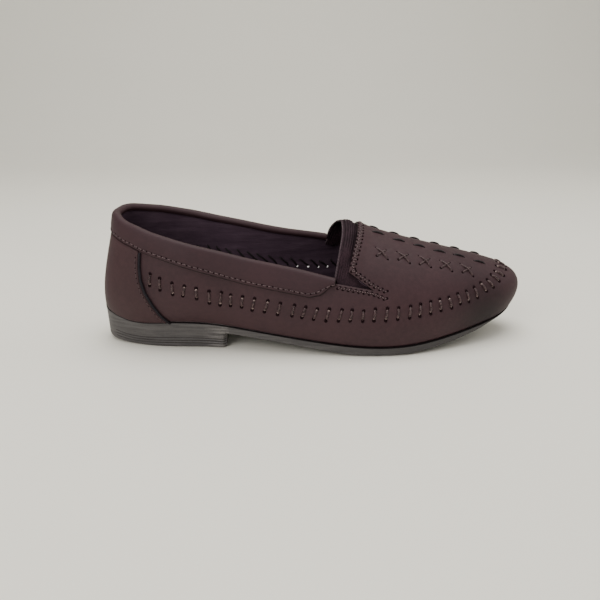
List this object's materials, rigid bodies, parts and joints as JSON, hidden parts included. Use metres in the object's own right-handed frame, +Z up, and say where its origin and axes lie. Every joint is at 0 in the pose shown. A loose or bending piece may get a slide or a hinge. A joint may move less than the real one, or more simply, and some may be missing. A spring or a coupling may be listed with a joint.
{
  "type": "slip-on leather flat",
  "caption": "Women's slip-on leather flat with a rolled collar band, elastic throat gores, a heel counter and a unit sole with a low heel.",
  "frame": {"origin": "on the floor, under the middle of the heel", "axes": "+X from heel to toe, +Y to the inner side of this right shoe, +Z up"},
  "size_m": [0.2549, 0.0847, 0.0795],
  "materials": {
    "sole_rubber": "matt moulded rubber",
    "sock_lining": "dark smooth lining",
    "upper_leather": "soft buffed brown leather",
    "counter_leather": "soft buffed brown leather",
    "band_leather": "soft buffed brown leather",
    "piping": "dark narrow piping",
    "elastic_webbing": "ribbed elastic webbing"
  },
  "bodies": {
    "root": {"outsole": "sole_rubber", "insole": "sock_lining", "upper": "upper_leather", "heel_counter": "counter_leather", "collar_band": "band_leather", "piping_lateral": "piping", "piping_medial": "piping", "throat_elastic": "elastic_webbing"}
  },
  "joints": []
}
